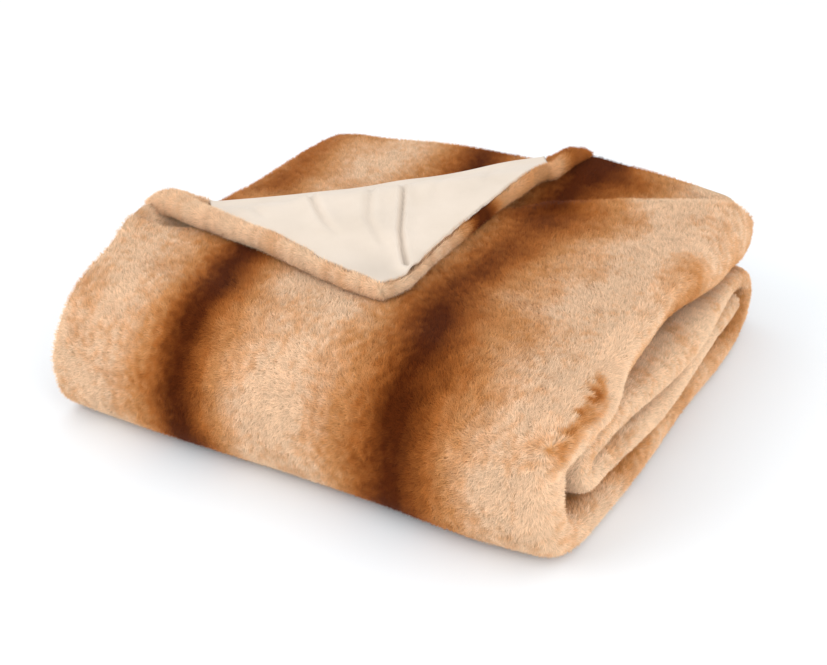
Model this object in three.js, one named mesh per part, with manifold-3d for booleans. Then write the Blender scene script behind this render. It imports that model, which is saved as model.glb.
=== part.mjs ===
// A faux fur throw, folded into a pile, with one corner of the top ply turned back to show its cream backing.
// Millimetres, +Z up, +X to the right along the front fold, +Y to the back, the base flat on Z = 0.
// The cloth is folded in three across its width into a strip, and the strip is rolled over three times
// along its length, so four layers of three plies lie on each other.
import * as THREE from 'three';
import { mergeVertices } from 'three/addons/utils/BufferGeometryUtils.js';
import Module from 'manifold-3d';

// The cloth as it was cut, and how far it gives round the outside of the turns
const CLOTH_WIDTH = 1300;
const CLOTH_LENGTH = 1600;
const CLOTH_GIVE = 1.015;

// The pile
const PILE_FRONT = -221;
const PILE_BACK = 210;
const TOP_END = 206;

// The layers of the strip: height of the underside, thickness, the left and right faces, and the start of
// the waver along their edges
const LAYERS = {
  top: { under: 75.5, thick: 44, left: -226, right: 207, phase: 3.1 },
  upper: { under: 51.5, thick: 21.5, left: -219, right: 211, phase: 1.3 },
  inner: { under: 28.5, thick: 21.5, left: -217, right: 207, phase: 2.9 },
  base: { under: 0, thick: 27, left: -222, right: 214, phase: 4.4 },
};
const EDGE_WAVER = 2.5;
const EDGE_WAVE = 42;

// The turns between layers: how far the strip is pinched, and how square the upper and lower quarters are
const TURNS = {
  front: { pinch: 1, upper: 2.1, lower: 3.6 },
  back: { pinch: 1, upper: 2, lower: 2.2 },
  nose: { pinch: 2, upper: 2, lower: 2 },
};
const NOSE_SETBACK = 7;
const INNER_CLEARANCE = 3;

// The three plies of the strip
const GAP_SHARE = 0.055;
const RIGHT_BULGE = 21;
const LEFT_BULGE = 12;
const EDGE_OVERHANG = 5;
const LEAST_TUCK = 1.5;

// The turned-back corner: the two ends of its crease, how far the ply's own edge stays inside the crease,
// its tip, how far its right edge bows in, and its fur
const CREASE_LEFT = new THREE.Vector2(-229, -81);
const CREASE_RIGHT = new THREE.Vector2(47, 202);
const CREASE_INSET = 6;
const FLAP_TIP = new THREE.Vector2(28, -133);
const FLAP_TIP_SHARE = 0.42;
const TIP_ROUNDING = 0.05;
const RIGHT_EDGE_BOW = 7;
const FLAP_FUR = 11;
const FLAP_LIFT = 1.5;

// Along its crease the corner is pressed down: how deep, how far from the crease, how thin its fur is
// there, and the shares of the crease where the press sets in and where it ends
const PRESS_DEPTH = 7;
const PRESS_REACH = 58;
const PRESSED_FUR = 3;
const PRESS_STARTS = [0.03, 0.14];
const PRESS_ENDS = [0.78, 0.95];

// The rim of fur round the free edges of the corner, along the crease: its width and how far it stands up
const RIM = [
  { share: 0, width: 34, rise: 5 },
  { share: 0.3, width: 26, rise: 5 },
  { share: 0.41, width: 22, rise: 5 },
  { share: 0.5, width: 13, rise: 3 },
  { share: 0.75, width: 13, rise: 3 },
  { share: 0.9, width: 20, rise: 4 },
  { share: 1, width: 26, rise: 4 },
];
const RIM_SLOPE = 7;
const RIM_FOOT_LEAST = 0.5;

// The lower leg of the corner, inside the ply that it belongs to
const LEG_LENGTH = 22;
const LEG_THICK = 2;
const LEG_INSET = 2;

// The cream backing on it: thickness, distance to the fur, how far it goes round the bend, and its ends
const BACKING_THICK = 2;
const CLEARANCE = 0.7;
const BACKING_TURN = 2.6 * (Math.PI / 2);
const BACKING_ENDS = { left: 0.12, right: 0.93 };

// How full the fur is along the crease, puffed up at its two ends and rounded off
const FULLNESS = [
  { share: 0, fullness: 0.55 },
  { share: 0.02, fullness: 1.05 },
  { share: 0.06, fullness: 1.2 },
  { share: 0.1, fullness: 1 },
  { share: 0.93, fullness: 1 },
  { share: 0.97, fullness: 1.1 },
  { share: 1, fullness: 0.5 },
];

// The mound of fur in front of the left end of the crease
const MOUND = { x: -222, y: -96, height: 9, spread: 26 };

// The crest across the top and the trough behind it
const CREST_LEFT = new THREE.Vector2(-235, -127);
const CREST_RIGHT = new THREE.Vector2(192, 175);
const TROUGH_DEPTH = 7;
const TROUGH_FALL = 22;
const TROUGH_RISE = 70;
const TROUGH_RECOVERY = 0.75;

// Slump: how high the pile stands at its front, middle and back, as a share of its nominal height
const SLUMP = [
  { at: 'front', left: 0.92, middle: 1.0, right: 0.97 },
  { at: 'middle', left: 1.0, middle: 1.03, right: 1.0 },
  { at: 'back', left: 0.97, middle: 1.04, right: 0.96 },
];

// How the corners draw in, and how the sides waver along their length and with height
const CORNER_DRAW = 0.015;
const WAVER = 2;
const WAVE_ALONG = { x: 70, y: 55 };
const WAVE_UP = { x: 1.5, y: 2.2 };

// Number of facets along each stretch of the strip, round each half of its outline and round the corner
const STEPS = { top: 17, front: 12, base: 6, back: 8, upper: 6, nose: 8, inner: 6 };
const OUTLINE_STEPS = { face: 10, hidden: 6, right: 7, left: 5, edge: 3, rightInside: 4, leftInside: 3 };
const BEND_STEPS = 6;
const END_ROUNDING = [
  { inset: 0, fullness: 0.4, draw: 10 },
  { inset: 2, fullness: 0.8, draw: 6 },
  { inset: 9, fullness: 1, draw: 1 },
];
const FLAP_PLACES = [0, 0.12, 0.3, 0.6];
const FLAP_CUTS = [0, 0.015, 0.04, 0.08, 0.13, 0.18, 0.24, 0.3, 0.35, 0.38, 0.4, 0.42, 0.44, 0.46,
  0.49, 0.54, 0.6, 0.67, 0.74, 0.81, 0.87, 0.92, 0.96, 0.985, 1];

// Colours
const FUR_COLOR = 0xd9a066;
const BACKING_COLOR = 0xf0e6d6;
const CLOTH_ROUGHNESS = 0.9;

const mix = THREE.MathUtils.lerp;
const { smoothstep } = THREE.MathUtils;
const QUARTER = Math.PI / 2;
const middleOf = (layer) => layer.under + layer.thick / 2;

// Height of the top of the pile before it settles, and the thickness of its top ply
const TOP_HEIGHT = LAYERS.top.under + LAYERS.top.thick;
const TOP_PLY = (LAYERS.top.thick * (1 - 2 * GAP_SHARE)) / 3;

// Parabola through three values at -1, 0 and 1
function throughThree(low, mid, high, t) {
  return mid + (t * (high - low)) / 2 + (t * t * (high + low - 2 * mid)) / 2;
}

// The pile settles: its height follows the slump table, its corners draw in and its sides waver.
// What lies on Z = 0 stays there.
function settle(x, y, z) {
  const u = x / LAYERS.base.right;
  const v = y / PILE_BACK;
  const rows = SLUMP.map((row) => throughThree(row.left, row.middle, row.right, u));
  const height = throughThree(rows[0], rows[1], rows[2], v);
  const lean = z / TOP_HEIGHT;
  return [
    x * (1 - CORNER_DRAW * v ** 4) + WAVER * Math.sin(y / WAVE_ALONG.y + WAVE_UP.y * lean),
    y * (1 - CORNER_DRAW * u ** 4) + WAVER * Math.sin(x / WAVE_ALONG.x + WAVE_UP.x * lean),
    z * height,
  ];
}

// How deep the top has sunk at a point: nothing before the crest, then a trough behind it
function trough(x, y) {
  const along = CREST_RIGHT.clone().sub(CREST_LEFT).normalize();
  const behind = (y - CREST_LEFT.y) * along.x - (x - CREST_LEFT.x) * along.y;
  const fall = smoothstep(behind, 0, TROUGH_FALL);
  const rise = smoothstep(behind, TROUGH_FALL, TROUGH_RISE);
  return TROUGH_DEPTH * fall * (1 - TROUGH_RECOVERY * rise);
}

// Straight between the rows of a table by share, for one of its columns
function fromTable(table, share, column) {
  const next = Math.max(table.findIndex((row) => row.share >= share), 1);
  const low = table[next - 1];
  const high = table[next];
  return mix(low[column], high[column], (share - low.share) / (high.share - low.share));
}

const CREASE = CREASE_RIGHT.clone().sub(CREASE_LEFT);
const ALONG_CREASE = CREASE.clone().normalize();
const BEFORE_CREASE = new THREE.Vector2(ALONG_CREASE.y, -ALONG_CREASE.x);

// How firmly the corner is pressed down: 1 along most of the crease at the crease itself, 0 at its ends
// and beyond the reach
function pressed(share, reach) {
  const along = smoothstep(share, ...PRESS_STARTS) * (1 - smoothstep(share, ...PRESS_ENDS));
  return along * (1 - smoothstep(reach, 0, PRESS_REACH));
}

// How far the upper face of the top ply lies below its nominal height
function sunkAt(x, y) {
  const offset = new THREE.Vector2(x, y).sub(CREASE_LEFT);
  const press = PRESS_DEPTH * pressed(offset.dot(ALONG_CREASE) / CREASE.length(), offset.dot(BEFORE_CREASE));
  const distance = Math.hypot(x - MOUND.x, y - MOUND.y) / MOUND.spread;
  return Math.max(trough(x, y), press) - MOUND.height * Math.exp(-(distance ** 2));
}

// Where the top ply ends beside the crease, going back
function creaseX(y) {
  const slope = (CREASE_RIGHT.x - CREASE_LEFT.x) / (CREASE_RIGHT.y - CREASE_LEFT.y);
  return y > CREASE_LEFT.y ? CREASE_LEFT.x + CREASE_INSET + (y - CREASE_LEFT.y) * slope : -Infinity;
}

// One stretch of the strip lying flat, from one depth to another; up is 1 where the outer ply faces up
function lying(layer, up, from, to, steps) {
  return Array.from({ length: steps + 1 }, (_, i) => ({
    ...layer,
    y: mix(from, to, i / steps),
    z: middleOf(layer),
    normal: new THREE.Vector2(0, up),
    fullness: 1,
    isTop: layer === LAYERS.top,
  }));
}

// A half turn from one layer into the next, round the depth given; side is -1 at the front, 1 at the back.
// Each quarter is a superellipse: the sine and cosine of the angle, each to the power 2 / squareness.
function turning(from, to, centre, side, shape, steps) {
  const radius = Math.abs(middleOf(from) - middleOf(to)) / 2;
  const height = (middleOf(from) + middleOf(to)) / 2;
  const start = middleOf(from) > middleOf(to) ? 1 : -1;
  return Array.from({ length: steps - 1 }, (_, i) => {
    const share = (i + 1) / steps;
    const sine = Math.sin(Math.PI * share);
    const cosine = start * Math.cos(Math.PI * share);
    const square = cosine > 0 ? shape.upper : shape.lower;
    const out = sine ** (2 / square);
    const rise = Math.abs(cosine) ** (2 / square);
    const up = Math.sign(cosine);
    const normal = new THREE.Vector2(side * out ** (square - 1), up * rise ** (square - 1));
    return {
      thick: mix(from.thick, to.thick, share) - shape.pinch * sine,
      left: mix(from.left, to.left, share),
      right: mix(from.right, to.right, share),
      phase: mix(from.phase, to.phase, share),
      y: centre + radius * side * out,
      z: height + radius * up * rise,
      normal: normal.normalize(),
      fullness: 1,
      isTop: false,
    };
  });
}

// Length of a row of stations along the middle of the strip
function lengthOf(stations) {
  const step = (here, i) => Math.hypot(here.y - stations[i].y, here.z - stations[i].z);
  return stations.slice(1).reduce((sum, here, i) => sum + step(here, i), 0);
}

// How far a turn reaches from its centre to its outermost face
function turnReach(a, b) {
  return Math.abs(middleOf(a) - middleOf(b)) / 2 + (a.thick + b.thick) / 4;
}

// The whole way of the strip, from the free end on top to the free end inside, as long as the cloth
function stripPath() {
  const { top, upper, inner, base } = LAYERS;
  const frontCentre = PILE_FRONT + turnReach(top, base);
  const backCentre = PILE_BACK - turnReach(base, upper);
  const noseCentre = frontCentre + NOSE_SETBACK;
  const outside = [
    ...lying(top, 1, TOP_END, frontCentre, STEPS.top),
    ...turning(top, base, frontCentre, -1, TURNS.front, STEPS.front),
    ...lying(base, -1, frontCentre, backCentre, STEPS.base),
    ...turning(base, upper, backCentre, 1, TURNS.back, STEPS.back),
    ...lying(upper, 1, backCentre, noseCentre, STEPS.upper),
    ...turning(upper, inner, noseCentre, -1, TURNS.nose, STEPS.nose),
  ];
  const remaining = CLOTH_LENGTH * CLOTH_GIVE - lengthOf(outside);
  const innerEnd = Math.min(noseCentre + remaining, backCentre - INNER_CLEARANCE);
  const path = [...outside, ...lying(inner, -1, noseCentre, innerEnd, STEPS.inner)];
  const roundedEnd = (station) => END_ROUNDING.map((row) => ({
    ...station,
    y: station.y - row.inset,
    left: station.left + row.draw,
    right: station.right - row.draw,
    fullness: row.fullness,
  }));
  const first = roundedEnd(path[0]);
  const last = roundedEnd(path[path.length - 1]).reverse();
  return [...first, ...path.slice(1, -1), ...last];
}

// Points of the upper face of the outer ply, closer together towards its free edge
function outerFace(from, to, height, steps) {
  return Array.from({ length: steps }, (_, i) => [mix(from, to, (i / steps) ** 2), height]);
}

// Points of one run of a ply: from one place across to another, at half its thickness from its middle
function run(from, to, middle, half, steps) {
  return Array.from({ length: steps }, (_, i) => [mix(from, to, i / steps), middle + half]);
}

// Points of a round: its centre, its reach sideways and upwards, and its first and last angle
function round(x, middle, reach, rise, start, end, steps) {
  return Array.from({ length: steps }, (_, i) => {
    const angle = mix(start, end, i / steps);
    return [x + reach * Math.cos(angle), middle + rise * Math.sin(angle)];
  });
}

// Outline of the strip at one station: [place across, height over the strip's middle], one closed loop.
// The outer ply comes from its free left edge, turns under at the right, and the cloth turns once more
// at the left, so the third ply ends between the other two.
function stripOutline(station) {
  const gap = GAP_SHARE * station.thick;
  const ply = (station.thick - 2 * gap) / 3;
  const half = (ply / 2) * station.fullness;
  const outer = (station.thick - ply) / 2;
  const waver = EDGE_WAVER * Math.sin(station.y / EDGE_WAVE + station.phase);
  const freeEdge = station.left - waver + ply / 2;
  const right = station.right + waver - RIGHT_BULGE;
  const left = station.left - waver + EDGE_OVERHANG + LEFT_BULGE;
  const turn = (ply + gap) / 2;
  const turnMiddle = turn - outer;
  const rightReach = RIGHT_BULGE - ply / 2;
  const leftReach = LEFT_BULGE - ply / 2;
  const tuck = Math.max(LEFT_BULGE - ply, LEAST_TUCK);
  const arcs = QUARTER * (outer + rightReach + turn + leftReach);
  const used = right - freeEdge + right - left + arcs;
  const end = Math.min(left + CLOTH_WIDTH - used, right);
  const edge = station.isTop ? Math.max(freeEdge, creaseX(station.y)) : freeEdge;
  const { face, hidden } = OUTLINE_STEPS;
  return [
    ...outerFace(edge, right, outer + half, face),
    ...round(right, 0, rightReach + half, outer + half, QUARTER, -QUARTER, OUTLINE_STEPS.right),
    ...run(right, left, -outer, -half, hidden),
    ...round(left, turnMiddle, leftReach + half, turn + half, -QUARTER, -3 * QUARTER, OUTLINE_STEPS.left),
    ...run(left, end, 0, half, hidden),
    ...round(end, 0, half, half, QUARTER, -QUARTER, OUTLINE_STEPS.edge),
    ...run(end, left, 0, -half, hidden),
    ...round(left, turnMiddle, tuck, turn - half, -3 * QUARTER, -QUARTER, OUTLINE_STEPS.leftInside),
    ...run(left, right, -outer, half, hidden),
    ...round(right, 0, rightReach - half, outer - half, -QUARTER, QUARTER, OUTLINE_STEPS.rightInside),
    ...run(right, edge, outer, -half, hidden),
    ...round(edge, outer, half, half, -QUARTER, -3 * QUARTER, OUTLINE_STEPS.edge),
  ];
}

// Signed volume, to see which way a closed mesh faces
function volumeOf(geometry) {
  const { position } = geometry.attributes;
  const corners = [new THREE.Vector3(), new THREE.Vector3(), new THREE.Vector3()];
  let volume = 0;
  for (let i = 0; i < geometry.index.count; i += 3) {
    corners.forEach((corner, k) => corner.fromBufferAttribute(position, geometry.index.getX(i + k)));
    volume += corners[0].dot(corners[1].cross(corners[2])) / 6;
  }
  return volume;
}

// The same mesh with its faces outwards
function facingOut(geometry) {
  if (volumeOf(geometry) < 0) {
    const index = geometry.index.array;
    for (let i = 0; i < index.length; i += 3) {
      [index[i], index[i + 1]] = [index[i + 1], index[i]];
    }
  }
  return geometry;
}

// Triangles of a flat outline, all turning the same way as the outline does
function capOf(outline) {
  const shape = outline.map(([x, y]) => new THREE.Vector2(x, y));
  const clockwise = THREE.ShapeUtils.isClockWise(shape);
  return THREE.ShapeUtils.triangulateShape(shape, []).map(([a, b, c]) => {
    const alike = THREE.ShapeUtils.isClockWise([shape[a], shape[b], shape[c]]) === clockwise;
    return alike ? [a, b, c] : [a, c, b];
  });
}

// A closed mesh from placed rings, one for each flat outline, walled between and capped at both ends
function closedFromRings(rings, outlines) {
  const count = rings[0].length;
  const last = (rings.length - 1) * count;
  const indices = [];
  for (let i = 0; i + 1 < rings.length; i += 1) {
    for (let j = 0; j < count; j += 1) {
      const a = i * count + j;
      const b = i * count + ((j + 1) % count);
      indices.push(a, a + count, b, b, a + count, b + count);
    }
  }
  capOf(outlines[0]).forEach(([a, b, c]) => indices.push(a, b, c));
  capOf(outlines[outlines.length - 1]).forEach(([a, b, c]) => indices.push(last + a, last + c, last + b));
  const geometry = new THREE.BufferGeometry();
  geometry.setAttribute('position', new THREE.Float32BufferAttribute(rings.flat(2), 3));
  geometry.setIndex(indices);
  return facingOut(geometry);
}

// The folded strip, with the corner of its top ply missing beyond the crease. Its top ply sinks or rises
// by the share of its thickness that a point has reached.
function foldedStrip() {
  const path = stripPath();
  const outlines = path.map(stripOutline);
  const lowerFace = LAYERS.top.thick / 2 - TOP_PLY;
  const rings = path.map((station, i) => outlines[i].map(([x, over]) => {
    const y = station.y + station.normal.x * over;
    const z = station.z + station.normal.y * over;
    const up = station.isTop ? Math.max((over - lowerFace) / TOP_PLY, 0) : 0;
    return settle(x, y, z - sunkAt(x, y) * up * station.fullness);
  }));
  return closedFromRings(rings, outlines);
}

// Edge of the turned-back corner, from the left end of the crease round the tip to the right end
function sharpFlapEdge(share) {
  if (share < FLAP_TIP_SHARE) {
    return CREASE_LEFT.clone().lerp(FLAP_TIP, share / FLAP_TIP_SHARE);
  }
  const part = (share - FLAP_TIP_SHARE) / (1 - FLAP_TIP_SHARE);
  const bow = new THREE.Vector2(-RIGHT_EDGE_BOW * Math.sin(Math.PI * part), 0);
  return FLAP_TIP.clone().lerp(CREASE_RIGHT, part).add(bow);
}

// The same edge with its tip rounded, as a weighted mean of three places on it
function flapEdge(share) {
  const near = sharpFlapEdge(Math.max(share - TIP_ROUNDING, 0));
  const far = sharpFlapEdge(Math.min(share + TIP_ROUNDING, 1));
  return sharpFlapEdge(share).multiplyScalar(2).add(near).add(far).multiplyScalar(0.25);
}

// One cross-cut of the corner: where it starts on the crease, which way it runs, how long it is, where
// the rim starts, and the middle and half height of its bend
function flapCut(share) {
  const root = CREASE_LEFT.clone().lerp(CREASE_RIGHT, share);
  const reach = flapEdge(share).sub(root);
  const length = Math.max(reach.length(), FLAP_FUR);
  const rimWidth = fromTable(RIM, share, 'width');
  const blend = Math.min(length / (2 * rimWidth), 1);
  const low = TOP_HEIGHT - TOP_PLY + LEG_INSET;
  const high = furTop(share, 0);
  return {
    root,
    way: BEFORE_CREASE.clone().lerp(reach.normalize(), blend).normalize(),
    length,
    rimFoot: Math.max(length - rimWidth, RIM_FOOT_LEAST),
    bendMiddle: (low + high) / 2,
    bendRise: (high - low) / 2,
  };
}

// Height that the underside of the corner's fur lies at
function furUnderside(share, reach) {
  return TOP_HEIGHT + FLAP_LIFT - PRESS_DEPTH * pressed(share, reach);
}

// Height of the top of the corner's fur short of its rim
function furTop(share, reach) {
  return furUnderside(share, reach) + mix(FLAP_FUR, PRESSED_FUR, pressed(share, reach));
}

// Outline of the fur at one cross-cut, [distance from the crease, height]: the bend, the upper side to the
// rim, the rim's round, the underside back to the slit, and the lower leg inside the top ply
function flapFurOutline(share) {
  const { length, rimFoot, bendMiddle, bendRise } = flapCut(share);
  const rise = fromTable(RIM, share, 'rise');
  const fullness = fromTable(FULLNESS, share, 'fullness');
  const rimHalf = (FLAP_FUR + rise) / 2;
  const rimCentre = Math.max(length - rimHalf, 1);
  const rimTop = (reach) => furTop(share, reach) + rise * smoothstep(reach, rimFoot, rimFoot + RIM_SLOPE);
  const inward = FLAP_PLACES.map((part) => part * rimFoot);
  const rimPlaces = [0, 0.25, 0.6].map((part) => mix(rimFoot, rimCentre, part));
  const rimMiddle = (rimTop(rimCentre) + furUnderside(share, rimCentre)) / 2;
  const slit = furUnderside(share, 0);
  const outline = [
    ...round(0, bendMiddle, bendRise, bendRise, 3 * QUARTER, QUARTER, BEND_STEPS),
    ...[...inward, ...rimPlaces].map((reach) => [reach, rimTop(reach)]),
    ...round(rimCentre, rimMiddle, rimHalf, rimHalf, QUARTER, -QUARTER, BEND_STEPS),
    ...[...inward, rimCentre].reverse().map((reach) => [reach, furUnderside(share, reach)]),
    [-FLAP_LIFT / 2, slit - FLAP_LIFT / 2],
    [0, slit - FLAP_LIFT],
    [LEG_LENGTH, bendMiddle - bendRise + LEG_THICK],
    [LEG_LENGTH, bendMiddle - bendRise],
  ];
  return outline.map(([reach, height]) => [reach * fullness, mix(bendMiddle, height, fullness)]);
}

// Outline of the backing at one cross-cut: round the bend and along the fur to its rim, and back above
function backingOutline(share) {
  const { rimFoot, bendMiddle, bendRise } = flapCut(share);
  const within = bendRise + CLEARANCE;
  const outside = within + BACKING_THICK;
  const places = [...FLAP_PLACES.map((part) => part * rimFoot), rimFoot - CLEARANCE];
  const over = (height) => (reach) => [reach, furTop(share, reach) + height];
  return [
    ...round(0, bendMiddle, within, within, BACKING_TURN, QUARTER, BEND_STEPS),
    ...places.map(over(CLEARANCE)),
    ...places.map(over(CLEARANCE + BACKING_THICK)).reverse().slice(0, -1),
    ...round(0, bendMiddle, outside, outside, QUARTER, BACKING_TURN, BEND_STEPS),
    [outside * Math.cos(BACKING_TURN), bendMiddle + outside * Math.sin(BACKING_TURN)],
  ];
}

// A closed mesh over the cross-cuts at the places given along the crease
function overCuts(shares, outlineAt) {
  const outlines = shares.map(outlineAt);
  const rings = shares.map((share, i) => {
    const { root, way } = flapCut(share);
    return outlines[i].map(([reach, height]) => {
      const place = way.clone().multiplyScalar(reach).add(root);
      return settle(place.x, place.y, height);
    });
  });
  return closedFromRings(rings, outlines);
}

// The turned-back corner's fur, from one end of the crease to the other
function turnedCorner() {
  return overCuts(FLAP_CUTS, flapFurOutline);
}

// The backing on it, short of the fur at both ends
function backingSheet() {
  const { left, right } = BACKING_ENDS;
  return overCuts(FLAP_CUTS.filter((share) => share > left && share < right), backingOutline);
}

const wasm = await Module();
wasm.setup();

// A solid for joining, from a closed geometry
function solidOf(geometry) {
  const merged = mergeVertices(geometry, 1e-4);
  return new wasm.Manifold(new wasm.Mesh({
    numProp: 3,
    vertProperties: new Float32Array(merged.attributes.position.array),
    triVerts: new Uint32Array(merged.index.array),
  }));
}

// The geometry of a joined solid
function geometryOf(solid) {
  const mesh = solid.getMesh();
  const geometry = new THREE.BufferGeometry();
  geometry.setAttribute('position', new THREE.Float32BufferAttribute(mesh.vertProperties, 3));
  geometry.setIndex(Array.from(mesh.triVerts));
  return geometry;
}

// A named piece of cloth
function pieceOf(name, geometry, color) {
  geometry.computeVertexNormals();
  const material = new THREE.MeshStandardMaterial({ color, roughness: CLOTH_ROUGHNESS, metalness: 0 });
  const mesh = new THREE.Mesh(geometry, material);
  mesh.name = name;
  return mesh;
}

const furSolid = solidOf(foldedStrip()).add(solidOf(turnedCorner()));
const foldedThrow = new THREE.Group();
foldedThrow.add(pieceOf('fur_cloth', geometryOf(furSolid), FUR_COLOR));
foldedThrow.add(pieceOf('backing', backingSheet(), BACKING_COLOR));

// The middle of its footprint goes to the origin
const box = new THREE.Box3().setFromObject(foldedThrow);
foldedThrow.position.set(-(box.min.x + box.max.x) / 2, -(box.min.y + box.max.y) / 2, -box.min.z);

export default foldedThrow;
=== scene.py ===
"""Looks of the folded faux fur throw: the cloth with all its plies, its pile of fine hairs and its backing.

The shape follows the solids: the cloth is folded in three across its width into a strip, the strip is rolled
over three times along its length, and one corner of its top ply is turned back. Millimetres in all the sizes
and formulas below; a mesh gets metres and the frame's own origin when it is made.
"""

import math

import bpy
import numpy as np
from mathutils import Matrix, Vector


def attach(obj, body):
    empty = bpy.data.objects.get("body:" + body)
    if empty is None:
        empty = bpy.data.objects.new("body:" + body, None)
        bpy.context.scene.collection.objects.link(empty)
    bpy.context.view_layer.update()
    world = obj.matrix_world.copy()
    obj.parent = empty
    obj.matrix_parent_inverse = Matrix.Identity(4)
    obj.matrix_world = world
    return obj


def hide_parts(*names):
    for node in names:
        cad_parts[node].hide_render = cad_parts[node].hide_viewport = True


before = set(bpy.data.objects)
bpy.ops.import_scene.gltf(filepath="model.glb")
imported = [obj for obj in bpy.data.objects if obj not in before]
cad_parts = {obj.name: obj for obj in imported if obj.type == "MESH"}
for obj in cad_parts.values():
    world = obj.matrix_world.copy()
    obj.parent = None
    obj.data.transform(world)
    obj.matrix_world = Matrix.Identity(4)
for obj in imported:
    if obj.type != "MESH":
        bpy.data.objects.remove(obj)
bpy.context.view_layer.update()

# The cloth as it was cut, how far it gives round the outside of the turns, and the pile's own extents
CLOTH_WIDTH, CLOTH_LENGTH, CLOTH_GIVE = 1300, 1600, 1.015
PILE_FRONT, PILE_BACK, TOP_END = -221, 210, 206
# How far the middle of the footprint lies from the origin of the formulas
CENTRE_SHIFT = np.array([7.96, 5.28, 0])
# One millimetre in metres, a number past every distance, and the sides of the lattices of random values
MM, FAR, LATTICE, CLUMP_LATTICE = 0.001, 1e9, 64, 128

# The layers of the strip: height of the underside, thickness, left and right faces, start of the edge waver,
# and how blunt the folds at its sides are, where 2 is an ellipse
LAYERS = {
    "top": dict(under=75.5, thick=44, left=-226, right=207, phase=3.1, blunt=2.2),
    "upper": dict(under=51.5, thick=21.5, left=-219, right=213, phase=1.3, blunt=3.4),
    "inner": dict(under=28.5, thick=21.5, left=-217, right=213, phase=2.9, blunt=3.4),
    "base": dict(under=0, thick=27, left=-230, right=214, phase=4.4, blunt=2.8),
}
EDGE_WAVER, EDGE_WAVE = 2.5, 42
# The turns between layers: the pinch, and how square the upper and lower quarters are
TURNS = {
    "front": dict(pinch=1, upper=2.1, lower=3.6),
    "back": dict(pinch=1, upper=2, lower=2.2),
    "nose": dict(pinch=2, upper=2, lower=2),
}
NOSE_SETBACK, INNER_CLEARANCE = 7, 3

# The three plies of the strip
GAP_SHARE, RIGHT_BULGE, LEFT_BULGE, EDGE_OVERHANG, LEAST_TUCK = 0.055, 21, 12, 5, 1.5
TOP_HEIGHT = LAYERS["top"]["under"] + LAYERS["top"]["thick"]
TOP_PLY = LAYERS["top"]["thick"] * (1 - 2 * GAP_SHARE) / 3

# The turned-back corner: its crease and its tip, and where the tip falls as a share of the crease
CREASE_LEFT, CREASE_RIGHT = np.array([-229, -81]), np.array([50, 203])
FLAP_TIP, FLAP_TIP_SHARE, TIP_ROUNDING = np.array([33.5, -142]), 0.43, 0.06
CREASE_INSET, LEFT_EDGE_BOW, RIGHT_EDGE_BOW, RIGHT_EDGE_DIP = 6, 7, 5, 9
# How it is pressed down along the crease, and how much more in the middle
PRESS_DEPTH, PRESS_SAG, PRESS_REACH, PRESS_LEAST, PRESSED_FUR = 7, 0.35, 58, 0.01, 3
PRESS_STARTS, PRESS_ENDS = (0.06, 0.15), (0.88, 1.02)
# Its rim of fur by share of the crease: width, rise over the cream, and thickness of the fur
RIM = dict(
    share=[0, 0.12, 0.2, 0.3, 0.38, 0.42, 0.45, 0.5, 0.75, 0.88, 1],
    width=[30, 25, 18, 14, 11.5, 8.5, 6.5, 6, 7, 14, 26],
    rise=[6, 6, 5, 4, 3.5, 3, 2.5, 2.5, 3, 4, 4],
    fur=[11, 11, 11, 11, 10.5, 9.5, 8.5, 7.5, 8.5, 10.5, 11],
)
RIM_SLOPE, RIM_FOOT_LEAST, LEAST_CUT, FLAP_LIFT = 7, 0.5, 11, 1.5
# Unevenness of the rim: height, size and seed of the noise, over the crease as this many millimetres
RIM_PATH, RIM_RAGGED, RIM_WAVER = 400, (1, 5, 32), (1.8, 13, 31)
RIM_LUMPS, TUFT_LUMPS, TUFT_STARTS = (0.9, 16, 33), (1.3, 6, 34), (0.85, 0.9)
RIGHT_LEG_STARTS, RIGHT_LEG_CALM = (0.4, 0.45), 0.6
# Its lower leg inside the top ply, the cloth left under the wrinkles, and the pile on its underside
LEG_LENGTH, LEG_THICK, LEG_INSET, CLOTH_LEFT, UNDER_SHARE, UNDER_STARTS = 22, 2, 2, 2, 0.6, (0, 20)
BACKING_THICK, BACKING_CLEARANCE, BACKING_TURN = 2, 0.7, 2.6 * math.pi / 2
# Shares of the crease: the backing's ends, where the fur sinks for it, and the all-fur ends
BACKING_ENDS, SINK_STARTS, SINK_ENDS, FUR_ENDS = (0.13, 0.89), (0.09, 0.125), (0.855, 0.88), (0.125, 0.89)
FULLNESS = dict(
    share=[0, 0.02, 0.06, 0.1, 0.87, 0.9, 0.95, 0.98, 1],
    fullness=[0.6, 1.05, 1.1, 1, 1, 1.12, 1.05, 0.85, 0.45],
)
END_DROP, END_DROP_STARTS = 8, 0.93
# The lump of cloth at the crease's left end
MOUND = dict(x=-230, y=-100, height=24, across=24, deep=32)

# The crest across the top and the trough behind it
CREST_LEFT, CREST_RIGHT = np.array([-235, -127]), np.array([192, 175])
TROUGH_DEPTH, TROUGH_FALL, TROUGH_RISE, TROUGH_RECOVERY = 13, 6, 75, 0.75
TROUGH_LEFT = (-232, -200)
RIDGE = dict(height=6.5, before=6, across=10, starts=(38, 68), ends=(150, 240))

# Slump of the pile's height by place: rows front, middle, back; columns left, middle, right
SLUMP = np.array([[0.92, 1, 0.97], [1.035, 1.03, 1], [0.99, 1.085, 1]])
CORNER_DRAW, WAVER = 0.015, 2
WAVE_ALONG, WAVE_UP = dict(x=70, y=55), dict(x=1.5, y=2.2)
# How far the front's right and left ends are drawn in, and low lumps of the top and the front
FRONT_RIGHT_DRAW, FRONT_LEFT_DRAW = 7.5, 5
LUMP_HEIGHT, LUMP_SIZE, TOP_SEED, FRONT_SEED = 1.8, 48, 41, 42
BACK_SWELL = dict(height=4.5, middle=-95, across=65)
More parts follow.
